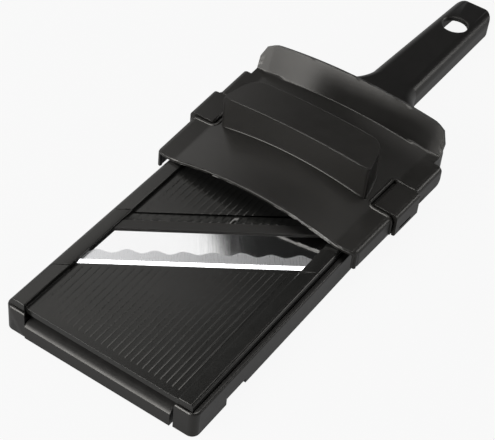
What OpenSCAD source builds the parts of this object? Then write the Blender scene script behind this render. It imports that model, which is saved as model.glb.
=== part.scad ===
// Hand-held vegetable slicer: a long tray frame with a handle, a lowering infeed plate,
// a skewed blade cartridge, an outfeed plate and a sliding finger guard.
// Every module is drawn in the slicer's own level frame: X across, Y towards the handle,
// Z up from the underside of the front brackets. seated() then tips the whole slicer
// onto its front foot and the tip of its handle, as it stands on a table.

/* [Frame] */
// Outside width of the tray frame
frame_w = 105; // [90:1:126]
// Height of the frame's side walls
wall_h = 14.8; // [13:0.2:18]
// Thickness of the frame's side walls
wall_t = 2.4; // [2.4:0.1:3]
// Length of the tray, front face to the shoulder of the handle
tray_len = 222; // [215:1:250]
// Length of the whole slicer
total_len = 348; // [330:1:418]
// Length of each front corner bracket along Y
bracket_len = 13; // [9:1:18]
// Reach of each front corner bracket towards the middle
bracket_w = 11.5; // [9:0.5:14]
// Height of the rest notch in each side wall
notch_h = 4; // [3:0.5:5]

/* [Handle] */
// Width of the handle at the neck
handle_w = 29.6; // [24:0.5:36]
// Thickness of the handle
handle_t = 12; // [10:0.5:16]
// Taper of each side of the handle, in degrees
handle_taper = 1.2; // [0:0.1:2]
// Angle by which the handle dips below the tray, in degrees
handle_droop = 3.2; // [2:0.1:4]
// Radius along the handle's upper edges
handle_edge_r = 6; // [2:0.5:7]
// Wall of the handle, which is hollow from below
handle_wall = 2.6; // [2:0.1:4]
// Length of the shoulder between the tray and the flare
shoulder = 13; // [8:0.5:18]
// Radius of the flare from the shoulder into the handle
flare_r = 24; // [14:0.5:30]
// Radius of the hanging hole
hang_r = 7.4; // [5:0.1:9]

/* [Plates] */
// Width of each rail on top of the plates
rail_w = 7.6; // [7:0.1:9]
// Height of the rails above the frame walls
rail_rise = 4.2; // [3:0.1:6]
// Depth of the infeed plate below the rails
plate_drop = 2.6; // [2:0.1:3.5]
// Thickness of the plates
plate_t = 2.4; // [2:0.1:3]
// Pitch of the fine ribs on the plates
rib_pitch = 3.2; // [2.6:0.1:5]
// Height of the fine ribs
rib_h = 0.35; // [0.2:0.05:0.5]

/* [Blade] */
// Skew of the blade across the tray, in degrees
skew = 36; // [20:1:40]
// Where the seam before the blade crosses the middle of the tray
seam_y = 64; // [60:1:80]
// Length of the blade cartridge along Y
cartridge_len = 46; // [36:1:52]
// How far the cutting edge lies behind the seam, along Y
edge_back = 4.9; // [3:0.1:7]
// Thickness of the blade
blade_t = 1; // [0.8:0.1:1.4]
// Thinnest slice: height of the blade's top above the raised infeed plate
thin_slice = 0.5; // [0.3:0.1:1]

/* [Thickness dial] */
// Travel of the infeed plate, from the thinnest slice to the thickest
lift_travel = 2; // [1:0.1:2.2]
// Radius of the dial's knob
dial_r = 14; // [11:0.5:14]
// Distance of the dial from the front of the frame
dial_y = 26; // [26:0.5:30]
// Radius of the dial's lifting screw
screw_r = 3; // [2.5:0.1:3.5]

/* [Guard] */
// Reach of the guard's near edge beyond each side of the frame
guard_reach = 5; // [5:0.5:7]
// Where the guard's near edge stands when it is parked
guard_y = 118; // [115:1:123]
// Length of the guard's side skirts
skirt_len = 79; // [78:1:85]
// How far each skirt spreads, in degrees
skirt_spread = 1.7; // [0:0.1:2]
// Thickness of the guard's walls
guard_t = 2; // [1.6:0.1:2.6]
// Height of the guard's crown above its side flanges
crown_h = 6.1; // [4:0.1:9]
// Height of the upright shield behind the grip
shield_rise = 15.2; // [12:0.2:18]
// Width of the grip block along its near face
grip_w = 85; // [70:1:92]
// Depth of the grip block along Y
grip_d = 21; // [18:0.5:26]
// Height of the grip block's ends above the rails
grip_h = 22.5; // [18:0.5:30]

/* [Clips] */
// Length of each side clip along the skirt
clip_len = 21; // [18:0.5:24]
// Distance from the guard's near edge to the clips
clip_y = 33.5; // [31:0.5:37]
// Radius of the clips' pivot pins
clip_pin_r = 1; // [0.8:0.05:1.1]

/* [Fits] */
// Clearance between moving pieces that don't touch
gap = 0.3; // [0.2:0.05:0.4]
// Radial running clearance of pins and screws
run_gap = 0.05; // [0.03:0.01:0.08]

/* [Hidden] */
$fn = 48;

plastic = [0.16, 0.155, 0.15];
plastic_dark = [0.1, 0.1, 0.1];
steel = [0.78, 0.78, 0.8];

// Tray levels
half_w = frame_w / 2;
in_x = half_w - wall_t;
rail_top = wall_h + rail_rise;
rail_out = in_x - gap;
rail_in = rail_out - rail_w;
rail_mid = (rail_in + rail_out) / 2;
infeed_top = rail_top - plate_drop;
blade_top = infeed_top + thin_slice;
wall_foot = 1.4;
ledge_w = 6.6;
ledge_low = 3;
ledge_top = 5;
rail_start = 1.4;
plate_start = 2.5;
rib_start = 6.5;
rails_end = tray_len - 17;
slope = tan(skew);
far_seam = seam_y + cartridge_len;

// Handle levels, in the handle's own frame: Y along it from the shoulder, Z up from its underside
neck_z = 0.4;
heel_shave = 0.15;
handle_len = (total_len - tray_len) / cos(handle_droop);
// The lowest point of the handle's underside sets how far the slicer tips
tip_y = tray_len + handle_len * cos(handle_droop);
tip_z = neck_z - handle_len * sin(handle_droop);
seat_tilt = atan((-tip_z - heel_shave) / tip_y);
// Front foot bar: how far it stands proud, and how high its front face is
bar_front = -0.6;
bar_lip = 7.6;
far_y = (tip_y + handle_t * sin(handle_droop)) * cos(seat_tilt)
    - (tip_z + handle_t * cos(handle_droop)) * sin(seat_tilt);
near_y = bar_front * cos(seat_tilt) - bar_lip * sin(seat_tilt);
centre_y = (far_y + near_y) / 2;

// Tips the slicer onto its feet, puts the origin at the middle of its footprint,
// and trims what would reach below the table
module seated() {
    translate([0, -centre_y, 0]) rotate([seat_tilt, 0, 0]) children();
}
module above_table() {
    difference() {
        seated() children();
        translate([-200, -400, -20]) cube([400, 800, 20]);
    }
}

// Y of a seam line that crosses the tray's middle at y0, at a given x
function seam(y0, x) = y0 + slope * x;

// A slab between two seam lines and two x values
module skew_slab(x0, x1, y0, y1, z0, z1) {
    translate([0, 0, z0]) linear_extrude(z1 - z0)
        polygon([[x0, seam(y0, x0)], [x1, seam(y0, x1)], [x1, seam(y1, x1)], [x0, seam(y1, x0)]]);
}

// A slab that starts square at y0 and ends on the seam line y1
module front_slab(x0, x1, y0, y1, z0, z1) {
    translate([0, 0, z0]) linear_extrude(z1 - z0)
        polygon([[x0, y0], [x1, y0], [x1, seam(y1, x1)], [x0, seam(y1, x0)]]);
}

// A slab that starts on the seam line y0 and ends square at y1
module back_slab(x0, x1, y0, y1, z0, z1) {
    translate([0, 0, z0]) linear_extrude(z1 - z0)
        polygon([[x0, seam(y0, x0)], [x1, seam(y0, x1)], [x1, y1], [x0, y1]]);
}

// Both sides of the slicer
module both_sides() {
    children();
    mirror([1, 0, 0]) children();
}

// Rail profile: flat top, rounded outer shoulder
module rail_section(low) {
    shoulder = 1.6;
    polygon(concat(
        [[rail_in, low], [rail_out, low]],
        [for (a = [0:15:90]) [rail_out - shoulder + shoulder * cos(a), rail_top - shoulder + shoulder * sin(a)]],
        [[rail_in + 0.4, rail_top], [rail_in, rail_top - 0.4]]));
}

// A rail of the given underside height, over the whole tray
module rail_bar(low) {
    translate([0, rails_end + 50, 0]) rotate([90, 0, 0]) linear_extrude(rails_end + 100)
        rail_section(low);
}

// What lies between two seam lines, or before or behind one
module between(y0, y1) {
    skew_slab(-half_w, half_w, y0, y1, 0, 40);
}

// A countersunk-free pan head screw that points up, its head's top face at z0
module screw_up(x, y, z0, z1, shank, head, head_h) {
    translate([x, y, z0 - head_h]) difference() {
        cylinder(h = head_h, r = head);
        translate([-head * 0.7, -0.4, -1]) cube([head * 1.4, 0.8, 1.5]);
        translate([-0.4, -head * 0.7, -1]) cube([0.8, head * 1.4, 1.5]);
    }
    translate([x, y, z0 - 0.1]) cylinder(h = z1 - z0 + 0.1, r = shank);
}

// ---- Frame ----

// Screw places on the rails' centre line: [side, y]
screw_r_small = 1.4;
head_r_small = 2.6;
head_h_small = 1.2;
bridge_half_d = 9;
carrier_near = max(seam(seam_y, -rail_mid) + 8, dial_y + bridge_half_d + head_r_small + gap);
carrier_spots = [[-1, carrier_near], [-1, seam(far_seam, -rail_mid) - 8],
    [1, seam(seam_y, rail_mid) + 8], [1, seam(far_seam, rail_mid) - 8]];
outfeed_spots = [[-1, seam(far_seam, -rail_mid) + 12], [-1, rails_end - 12],
    [1, seam(far_seam, rail_mid) + 12], [1, rails_end - 12]];
bridge_spots = [[-1, dial_y], [1, dial_y]];
bridge_screw_x = in_x - head_r_small - gap;
guide_r = 1.5;
guide_near = max(seam(seam_y, -rail_mid) - 10, bracket_len + guide_r + 3);
guide_spots = [[-1, 8], [-1, guide_near], [1, 8], [1, seam(seam_y, rail_mid) - 14]];
bridge_low = 3.6;
bridge_t = 1.8;

// Outline of the front corner brackets and the walls, seen from above
module wall_plan() {
    corner = 4;
    difference() {
        union() {
            translate([-half_w, corner]) square([frame_w, tray_len - corner - 12]);
            translate([-half_w + corner, 0]) square([frame_w - 2 * corner, corner + 1]);
            for (s = [-1, 1]) translate([s * (half_w - corner), corner]) circle(corner);
            translate([-half_w + 12, tray_len - 24]) square([frame_w - 24, 24]);
            for (s = [-1, 1]) translate([s * (half_w - 12), tray_len - 12]) circle(12);
        }
        translate([-in_x, bracket_len]) square([2 * in_x, rails_end - bracket_len + gap]);
        translate([-half_w + bracket_w, -1]) square([frame_w - 2 * bracket_w, bracket_len + 2]);
    }
}

// One side of the handle: a bar with a rounded upper edge, turned inwards by the taper.
// inset draws it in on every side for the hollow, which is open below
module handle_side(start, inset) {
    low = inset > 0 ? -1 : 0;
    side_x = handle_w / 2 - inset;
    top = handle_t - inset;
    r = handle_edge_r - (inset > 0 ? min(inset, handle_edge_r - 0.8) : 0);
    rotate([0, 0, handle_taper]) translate([0, handle_len + 5, 0]) rotate([90, 0, 0])
        linear_extrude(handle_len + 5 - start) union() {
            translate([-handle_w, low]) square([handle_w + side_x - r, top - low]);
            translate([-handle_w, low]) square([handle_w + side_x, top - r - low]);
            translate([side_x - r, top - r]) intersection() {
                circle(r);
                translate([-0.5, -0.5]) square(r + 1);
            }
        }
}

// The handle, or the hollow inside it; its sides taper towards the rounded tip
module handle_bar(start, inset = 0) {
    tip_r = 7 - inset;
    tip_y = handle_len - inset;
    tip_half = handle_w / 2 - inset - handle_len * tan(handle_taper);
    translate([0, tray_len, neck_z]) rotate([-handle_droop, 0, 0]) intersection() {
        handle_side(start, inset);
        mirror([1, 0, 0]) handle_side(start, inset);
        translate([0, 0, -2]) linear_extrude(handle_t + 3) union() {
            translate([-handle_w, start - 5]) square([2 * handle_w, tip_y - start + 5 - tip_r]);
            translate([-tip_half + tip_r, 0]) square([2 * tip_half - 2 * tip_r, tip_y]);
            for (s = [-1, 1]) translate([s * (tip_half - tip_r), tip_y - tip_r]) circle(tip_r);
        }
    }
}

// The shoulder behind the tray, and the flare from it into the handle
module neck_flare() {
    turn = 32;
    nose_r = 8;
    arc_x = handle_w / 2 - 1.1 + flare_r;
    arc_y = shoulder + flare_r;
    meet_x = arc_x - flare_r * sin(turn);
    meet_y = arc_y - flare_r * cos(turn);
    nose_x = meet_x - (nose_r - 0.15) * sin(turn);
    nose_y = meet_y - (nose_r - 0.15) * cos(turn);
    translate([0, tray_len, neck_z]) rotate([-handle_droop, 0, 0]) difference() {
        linear_extrude(handle_t) union() {
            translate([-meet_x, -14]) square([2 * meet_x, 14 + arc_y]);
            translate([-nose_x - nose_r, -14]) square([2 * (nose_x + nose_r), 14 + nose_y]);
            for (s = [-1, 1]) translate([s * nose_x, nose_y]) circle(nose_r);
        }
        for (s = [-1, 1]) translate([s * arc_x, arc_y, 0]) rotate_extrude() difference() {
            translate([0, -1]) square([flare_r + handle_edge_r, handle_t + 2]);
            translate([flare_r, -2]) square([handle_edge_r + 1, handle_t - handle_edge_r + 2]);
            translate([flare_r + handle_edge_r, handle_t - handle_edge_r]) circle(handle_edge_r);
        }
    }
}

module frame() color(plastic) above_table() difference() {
    union() {
        difference() {
            translate([0, 0, wall_foot]) linear_extrude(wall_h - wall_foot) wall_plan();
            // hollow under the deck behind the plates
            translate([-in_x + 8, rails_end + 3, 0]) cube([2 * in_x - 16, tray_len - rails_end - 6, wall_h - 3]);
        }
        // the walls stand lower beside the front brackets
        linear_extrude(wall_foot + 1) intersection() {
            wall_plan();
            translate([-half_w, 0]) square([frame_w, dial_y - 2]);
        }
        // ledges that carry the plates
        both_sides() translate([in_x - ledge_w, bracket_len - 1, ledge_low])
            cube([ledge_w + 0.5, rails_end - bracket_len + 2, ledge_top - ledge_low]);
        // cross bar below the front edge of the infeed plate
        translate([-half_w + bracket_w - 1, bar_back, 2.2]) cube([frame_w - 2 * bracket_w + 2, cross_t, 5.8]);
    }
    // the brackets are open above, where the infeed plate's rails come down
    both_sides() translate([bar_half - 1, rail_start - gap, rail_low - lift_travel - gap])
        cube([in_x - bar_half + 1, bracket_len + 1, wall_h]);
    // rest notch in each wall
    both_sides() translate([in_x - 1, dial_y - 2, -1]) cube([wall_t + 2, 14.5, notch_h + 1]);
    // pockets that the side clips' barbs lock into
    both_sides() translate([half_w - 1.5, guard_y + clip_y - 2, pocket_low])
        cube([4, clip_len + 4, pocket_top - pocket_low]);
    // screw holes and guide pin sockets through the ledges
    for (p = concat(carrier_spots, outfeed_spots)) translate([p[0] * rail_mid, p[1], 0])
        cylinder(h = 8, r = screw_r_small + run_gap);
    for (p = bridge_spots) translate([p[0] * bridge_screw_x, p[1], 0])
        cylinder(h = 8, r = screw_r_small + run_gap);
    for (p = guide_spots) translate([p[0] * rail_mid, p[1], ledge_low])
        cylinder(h = 12, r = guide_r);
    // screw holes in the cross bar for the foot bar
    for (s = [-1, 1]) translate([s * foot_screw_x, 0, foot_screw_z]) rotate([-90, 0, 0])
        cylinder(h = 14, r = screw_r_small + run_gap);
}
pocket_low = 9;
pocket_top = 13.2;

// ---- Handle ----

hang_back = 26;

// The handle meets the back of the tray; a shoulder and a flare widen its root
module handle() color(plastic) above_table() difference() {
    intersection() {
        union() {
            handle_bar(-14);
            neck_flare();
        }
        translate([-half_w, tray_len, -40]) cube([frame_w, 2 * total_len, 80]);
    }
    // hollow from below
    handle_bar(8, handle_wall);
    // hanging hole with a bevelled rim
    translate([0, tray_len, neck_z]) rotate([-handle_droop, 0, 0])
        translate([0, handle_len - hang_back, 0]) {
            translate([0, 0, handle_t - handle_wall - 1]) cylinder(h = handle_wall + 2, r = hang_r);
            translate([0, 0, handle_t - 0.6]) cylinder(h = 0.8, r1 = hang_r, r2 = hang_r + 0.8);
        }
}

// ---- Front foot bar ----

foot_screw_x = 26;
foot_screw_z = 5;
bar_back = 9;
cross_t = 2.4;
bar_half = half_w - bracket_w;

module front_foot_bar() color(plastic_dark) above_table() {
    difference() {
        translate([-bar_half + gap, 0, 0]) rotate([90, 0, 90]) linear_extrude(2 * bar_half - gap - 1.4)
            polygon([[bar_front, -1], [7, -1], [bar_back, 2], [bar_back, 10.4], [7.6, 10.8], [1.2, 9.2], [bar_front, bar_lip]]);
        for (s = [-1, 1]) translate([s * foot_screw_x, 3, foot_screw_z]) rotate([-90, 0, 0])
            cylinder(h = 10, r = screw_r_small + run_gap);
    }
}

module foot_bar_screws() color(steel) seated() for (s = [-1, 1])
    translate([s * foot_screw_x, bar_back + cross_t, foot_screw_z]) rotate([90, 0, 0])
        screw_up(0, 0, 0, 8, screw_r_small, head_r_small, head_h_small);

// ---- Thickness dial ----

hub_r = 6;
dial_low = 0.7;
dial_top = bridge_low - gap;
bridge_top = bridge_low + bridge_t;
retainer_t = 0.8;
hub_top = bridge_top + gap + retainer_t + 0.7;
detent_track = 10.5;
ball_r = 1.5;
ball_z = bridge_low + 0.5;
detent_top = bridge_top + 3.4;
spring_r = 1.1;

module dial_bridge() color(plastic_dark) seated() difference() {
    union() {
        // tabs below the frame's ledges, and the bridge between the ledges
        both_sides() translate([tab_in, dial_y - bridge_half_d, tab_low])
            cube([in_x - gap - tab_in, 2 * bridge_half_d, ledge_low - tab_low]);
        both_sides() translate([tab_in, dial_y - bridge_half_d, tab_low])
            cube([bridge_half_w - tab_in, 2 * bridge_half_d, bridge_top - tab_low]);
        translate([-bridge_half_w, dial_y - bridge_half_d, bridge_low])
            cube([2 * bridge_half_w, 2 * bridge_half_d, bridge_t]);
        // housing of the detent
        translate([detent_track, dial_y, bridge_low]) cylinder(h = detent_top - bridge_low, r = 3);
    }
    translate([0, dial_y, 0]) cylinder(h = 20, r = hub_r + run_gap);
    translate([detent_track, dial_y, bridge_low - 1]) cylinder(h = detent_top - bridge_low, r = ball_r + run_gap);
    for (p = bridge_spots) translate([p[0] * bridge_screw_x, p[1], 0])
        cylinder(h = 8, r = screw_r_small + run_gap);
}
bridge_half_w = rail_in - gap;
tab_in = bridge_half_w - 5;
tab_low = ledge_low - 1.8;

module bridge_screws() color(steel) seated() for (p = bridge_spots)
    screw_up(p[0] * bridge_screw_x, p[1], tab_low, ledge_top, screw_r_small, head_r_small, 0.9);

module thickness_dial() color(plastic) seated() translate([0, dial_y, 0]) difference() {
    union() {
        translate([0, 0, dial_low]) cylinder(h = dial_top - dial_low, r = dial_r);
        cylinder(h = hub_top, r = hub_r);
        cylinder(h = stem_top, r = screw_r);
    }
    translate([0, 0, -1]) cylinder(h = 1 + dial_low, r = dial_r);
    // knurled rim
    for (a = [0:15:345]) rotate([0, 0, a]) translate([dial_r + 0.5, 0, 0]) cylinder(h = dial_top + 1, r = 1.2);
    // finger bar recesses on the underside
    for (s = [-1, 1]) translate([s * 7, 0, dial_low - 1]) intersection() {
        cylinder(h = 2.2, r = 9);
        translate([-4, -9, 0]) cube([8, 18, 3]);
    }
    // detent track and its ten stops
    rotate_extrude() translate([detent_track, ball_z]) circle(ball_r + 0.15);
    for (a = [0:30:330]) rotate([0, 0, a]) translate([detent_track, 0, ball_z - 0.3]) sphere(ball_r + 0.15);
    // groove for the retaining ring
    translate([0, 0, bridge_top + gap]) difference() {
        cylinder(h = retainer_t, r = hub_r + 1);
        cylinder(h = retainer_t, r = hub_r - 0.8);
    }
}
stem_top = infeed_top - plate_t - lift_travel - gap;

module dial_retainer() color(steel) seated() translate([0, dial_y, bridge_top + gap + 0.05]) difference() {
    cylinder(h = retainer_t - 0.1, r = hub_r + 1.2);
    translate([0, 0, -1]) cylinder(h = 3, r = hub_r - 0.75);
    translate([-1.5, -hub_r - 2, -1]) cube([3, hub_r, 3]);
}

module detent_ball() color(steel) seated() translate([detent_track, dial_y, ball_z]) sphere(ball_r);

// Coil spring: a round wire swept along a helix
spring_wire = 0.22;
spring_turns = 4;
spring_low = ball_z + ball_r + 0.02;
spring_high = detent_top - 1.05;
ring_steps = 12;
wire_sides = 8;
function coil_point(i, j) = let(
    t = i / ring_steps, a = 360 * t, b = 360 * j / wire_sides,
    rr = spring_r + spring_wire * cos(b),
    lift = spring_low + spring_wire + (spring_high - spring_low - 2 * spring_wire) * t / spring_turns)
    [rr * cos(a), rr * sin(a), lift + spring_wire * sin(b)];
module detent_spring() color(steel) seated() translate([detent_track, dial_y, 0]) {
    n = spring_turns * ring_steps;
    polyhedron(
        points = [for (i = [0:n], j = [0:wire_sides - 1]) coil_point(i, j)],
        faces = concat(
            [[for (j = [0:wire_sides - 1]) j]],
            [for (i = [0:n - 1], j = [0:wire_sides - 1]) let(k = (j + 1) % wire_sides)
                [i * wire_sides + j, (i + 1) * wire_sides + j, (i + 1) * wire_sides + k, i * wire_sides + k]],
            [[for (j = [wire_sides - 1:-1:0]) n * wire_sides + j]]));
}

// ---- Infeed plate ----

rail_low = wall_h - 2;
pin_top = rail_low + 2.6;

module guide_pins() color(steel) seated() for (p = guide_spots)
    translate([p[0] * rail_mid, p[1], ledge_low]) cylinder(h = pin_top - ledge_low, r = guide_r);

// Fine ribs along Y between two heights, clear of the rails
module ribs(top) {
    n = floor((rail_in - 3) / rib_pitch);
    for (i = [-n:n]) translate([i * rib_pitch, 0, top - 0.2]) rotate([-90, 0, 0])
        linear_extrude(rails_end) polygon([[-0.55, 0], [-0.3, -rib_h - 0.2], [0.3, -rib_h - 0.2], [0.55, 0]]);
}

module infeed_plate() color(plastic) seated() difference() {
    union() {
        front_slab(-rail_in - 0.5, rail_in + 0.5, plate_start, seam_y - gap,
            infeed_top - plate_t, infeed_top);
        front_slab(-rail_in + gap, rail_in - gap, plate_start, seam_y + edge_back - 0.4,
            infeed_top - plate_t, infeed_top);
        intersection() {
            both_sides() rail_bar(rail_low);
            front_slab(-half_w, half_w, rail_start, seam_y - gap / 2, 0, 40);
        }
        intersection() {
            ribs(infeed_top);
            front_slab(-half_w, half_w, rib_start, seam_y + edge_back - 3, 0, 40);
        }
        // rolled front edge
        translate([-rail_in, plate_start, infeed_top - plate_t - 0.8]) cube([2 * rail_in, 2, plate_t]);
        // boss for the lifting screw, braced to the plate
        translate([0, dial_y, boss_low]) cylinder(h = infeed_top - plate_t - boss_low + 0.5, r = screw_r + 2.4);
        for (a = [0, 90, 180, 270]) rotate_at(0, dial_y, a) translate([0, -0.6, infeed_top - plate_t - 1.4])
            cube([16, 1.2, 1.6]);
    }
    translate([0, dial_y, boss_low - 1]) cylinder(h = infeed_top - plate_t - boss_low + 1, r = screw_r + run_gap);
    for (p = guide_spots) translate([p[0] * rail_mid, p[1], rail_low - 1])
        cylinder(h = pin_top + lift_travel + gap - rail_low + 1, r = guide_r + run_gap);
}
boss_low = hub_top + gap + lift_travel;

module rotate_at(x, y, a) {
    translate([x, y, 0]) rotate([0, 0, a]) children();
}

// ---- Blade cartridge ----

seat_z = blade_top - blade_t;
seat_front = cartridge_len - 19;
clamp_front = cartridge_len - 14.2;
clamp_back = cartridge_len - 7.3;
clamp_rise = 1;
bore_x = [-30, 0, 30];
clamp_mid = (clamp_front + clamp_back) / 2;
slot_x = rail_in + 1.8;

module blade_carrier() color(plastic) seated() difference() {
    union() {
        intersection() {
            both_sides() rail_bar(ledge_top);
            between(seam_y + gap / 2, far_seam);
        }
        // back plate: a seat for the blade and a ribbed strip behind it
        skew_slab(-rail_in - 0.5, rail_in + 0.5, seam_y + seat_front, seam_y + clamp_back + 0.2, seat_z - 3.2, seat_z);
        skew_slab(-rail_in - 0.5, rail_in + 0.5, seam_y + clamp_back + 0.2, far_seam, seat_z - 3.2, blade_top);
        intersection() {
            ribs(blade_top);
            between(seam_y + clamp_back + 0.2, far_seam);
        }
    }
    // slots for the blade's ends
    skew_slab(-slot_x, slot_x, seam_y + edge_back - 0.2, seam_y + clamp_back + 0.2, seat_z, blade_top + 0.05);
    for (x = bore_x) translate([x, seam(seam_y + clamp_mid, x), 0]) cylinder(h = 30, r = screw_r_small + run_gap);
    for (p = carrier_spots) translate([p[0] * rail_mid, p[1], ledge_top - 1])
        cylinder(h = 7.2, r = screw_r_small + run_gap);
}

// Blade: its top is ground to the cutting edge
module blade() color(steel) seated() difference() {
    grind = 1.8;
    depth = (clamp_back - edge_back) * cos(skew);
    intersection() {
        translate([0, seam_y + edge_back, 0]) rotate([0, 0, skew]) translate([-100, 0, 0])
            rotate([90, 0, 90]) linear_extrude(200) polygon([[0, seat_z], [depth, seat_z],
                [depth, blade_top], [grind, blade_top], [0, seat_z + 0.12]]);
        translate([-slot_x + 0.1, -50, 0]) cube([2 * slot_x - 0.2, 400, 40]);
    }
    for (x = bore_x) translate([x, seam(seam_y + clamp_mid, x), 0]) cylinder(h = 30, r = screw_r_small + run_gap);
}

module blade_clamp() color(plastic_dark) seated() difference() {
    skew_slab(-rail_in + 0.1, rail_in - 0.1, seam_y + clamp_front, seam_y + clamp_back, blade_top, blade_top + clamp_rise);
    for (x = bore_x) translate([x, seam(seam_y + clamp_mid, x), 0])
        cylinder(h = blade_top + clamp_rise - 0.3, r = screw_r_small + run_gap);
}

module blade_screws() color(steel) seated() for (x = bore_x)
    screw_up(x, seam(seam_y + clamp_mid, x), seat_z - 3.2, blade_top + clamp_rise - 0.4,
        screw_r_small, head_r_small, head_h_small);

module carrier_screws() color(steel) seated() for (p = carrier_spots)
    screw_up(p[0] * rail_mid, p[1], ledge_low, ledge_top + 6, screw_r_small, head_r_small, head_h_small);

// ---- Outfeed plate ----

module outfeed_plate() color(plastic) seated() difference() {
    union() {
        back_slab(-rail_in - 0.5, rail_in + 0.5, far_seam + 0.1, rails_end - 0.2, blade_top - plate_t, blade_top);
        intersection() {
            both_sides() rail_bar(ledge_top);
            back_slab(-half_w, half_w, far_seam + 0.1, rails_end - 0.2, 0, 40);
        }
        intersection() {
            ribs(blade_top);
            back_slab(-half_w, half_w, far_seam + 0.1, rails_end - 6, 0, 40);
        }
        translate([-rail_in, rails_end - 3, ledge_top]) cube([2 * rail_in, 2.8, blade_top - ledge_top]);
    }
    for (p = outfeed_spots) translate([p[0] * rail_mid, p[1], ledge_top - 1])
        cylinder(h = 7.2, r = screw_r_small + run_gap);
}

module outfeed_screws() color(steel) seated() for (p = outfeed_spots)
    screw_up(p[0] * rail_mid, p[1], ledge_low, ledge_top + 6, screw_r_small, head_r_small, head_h_small);

// ---- Guard ----

guard_under = rail_top + gap;
guard_top = guard_under + guard_t;
guard_half = half_w + guard_reach;
skirt_low = wall_h - 4.2;
crown_half = rail_in + 4.8;
corner_r = 5;
plate_half = guard_half - corner_r - 0.6;
// The plate stands a hair above the flanges it runs out on
plate_step = 0.1;
// The shield's foot and rim, measured from the near edge; both bow back at the sides
shield_bend = 81.5;
shield_end = 87.2;
shield_bow = 3;
shield_lean = atan(shield_rise / (shield_end - shield_bend));
rim_corner = 8.6;
rim_drop = 3.2;
grip_near = 33.5;

// Guard plate: u runs across it from -1 to 1, v along it from its near edge
function plate_x(u, v) = u * (plate_half + 1.25 * v * tan(skirt_spread));
function bend_v(u) = shield_bend + shield_bow * u * u;
// The rim is level but for its rounded corners
function rim_v(u) = shield_end + shield_bow * u * u
    - rim_drop * (1 - sqrt(1 - pow(max(0, 1 - (1 - abs(u)) * plate_half / rim_corner), 2)));
function arch(x, v) = let(half = crown_half + v * tan(skirt_spread))
    abs(x) < half ? crown_h * (1 - pow(x / half, 2)) : 0;
function plate_top(u, v) = guard_top + plate_step + arch(plate_x(u, v), v)
    + max(0, v - bend_v(u)) * tan(shield_lean);

across = 24;
foot_row = 10;
along = 15;
// Columns stand closer together towards the sides
function column_u(i) = let(t = 2 * i / across - 1) sign(t) * (1 - pow(1 - abs(t), 1.4));
function row_v(u, j) = j <= foot_row ? bend_v(u) * j / foot_row
    : bend_v(u) + (rim_v(u) - bend_v(u)) * (j - foot_row) / (along - foot_row);
function plate_point(i, j, low) = let(u = column_u(i), v = row_v(u, j), t = low ? guard_t : 0)
    [plate_x(u, v),
        guard_y + v + t * (j > foot_row ? sin(shield_lean) : j == foot_row ? tan(shield_lean / 2) : 0),
        plate_top(u, v) - t * (j > foot_row ? cos(shield_lean) : 1)];
module guard_plate() {
    row = across + 1;
    layer = row * (along + 1);
    polyhedron(
        points = concat(
            [for (j = [0:along], i = [0:across]) plate_point(i, j, false)],
            [for (j = [0:along], i = [0:across]) plate_point(i, j, true)]),
        faces = concat(
            [for (j = [0:along - 1], i = [0:across - 1]) let(a = j * row + i) each
                [[a, a + row, a + row + 1], [a, a + row + 1, a + 1]]],
            [for (j = [0:along - 1], i = [0:across - 1]) let(a = layer + j * row + i) each
                [[a, a + row + 1, a + row], [a, a + 1, a + row + 1]]],
            [for (i = [0:across - 1]) each [[i, i + 1, layer + i + 1], [i, layer + i + 1, layer + i]]],
            [for (i = [0:across - 1]) let(a = along * row + i) each
                [[a, layer + a, layer + a + 1], [a, layer + a + 1, a + 1]]],
            [for (j = [0:along - 1]) let(a = j * row) each
                [[a, layer + a, layer + a + row], [a, layer + a + row, a + row]]],
            [for (j = [0:along - 1]) let(a = j * row + across) each
                [[a, a + row, layer + a + row], [a, layer + a + row, layer + a]]]));
}

// Local frame of the right skirt: X outwards from its outer face, Y along it
module on_skirt() {
    translate([guard_half, guard_y, 0]) rotate([0, 0, -skirt_spread]) children();
}

// Skirt and the rail flange above it, with a rounded outer edge and a rounded near corner
module skirt() {
    edge_r = 3;
    end_r = 3;
    intersection() {
        on_skirt() translate([0, 0, skirt_low - 1]) linear_extrude(20) union() {
            translate([-20, corner_r]) square([20, skirt_len]);
            translate([-20, 0]) square([20 - corner_r, corner_r + 1]);
            translate([-corner_r, corner_r]) circle(corner_r);
        }
        on_skirt() translate([0, skirt_len, 0]) rotate([90, 0, 0]) linear_extrude(skirt_len)
            polygon(concat(
                [[-12, guard_top], [-12, guard_under], [-guard_t, guard_under], [-guard_t, skirt_low], [0, skirt_low]],
                [for (a = [0:10:90]) [-edge_r + edge_r * cos(a), guard_top - edge_r + edge_r * sin(a)]]));
        on_skirt() translate([-20, 0, skirt_low]) rotate([90, 0, 90]) linear_extrude(40) union() {
            square([skirt_len - end_r, 20]);
            translate([0, end_r]) square([skirt_len, 20]);
            translate([skirt_len - end_r, end_r]) circle(end_r);
        }
    }
}

grip_top_r = 380;
grip_top = rail_top + grip_h;
grip_sag = 2.2;

// Plan of the grip block, inset all round by t; v is measured from the guard's near edge
module grip_plan(t) {
    near_r = 2.5;
    far_r = 8;
    w0 = grip_w / 2 - t;
    w1 = grip_w / 2 - 5 - t;
    v0 = grip_near + t;
    v1 = grip_near + grip_d - t;
    hull() {
        for (s = [-1, 1]) translate([s * (w0 - near_r), v0 + near_r]) circle(near_r);
        for (s = [-1, 1]) translate([s * (w1 - far_r + t / 2), v1 - far_r + t / 2]) circle(far_r - t / 2);
    }
}

module grip_block(t, z0, drop) {
    translate([0, guard_y, 0]) intersection() {
        translate([0, 0, z0]) linear_extrude(60) grip_plan(t);
        translate([0, 100, grip_top + grip_sag - drop - grip_top_r]) rotate([90, 0, 0])
            cylinder(h = 200, r = grip_top_r);
    }
}

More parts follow.
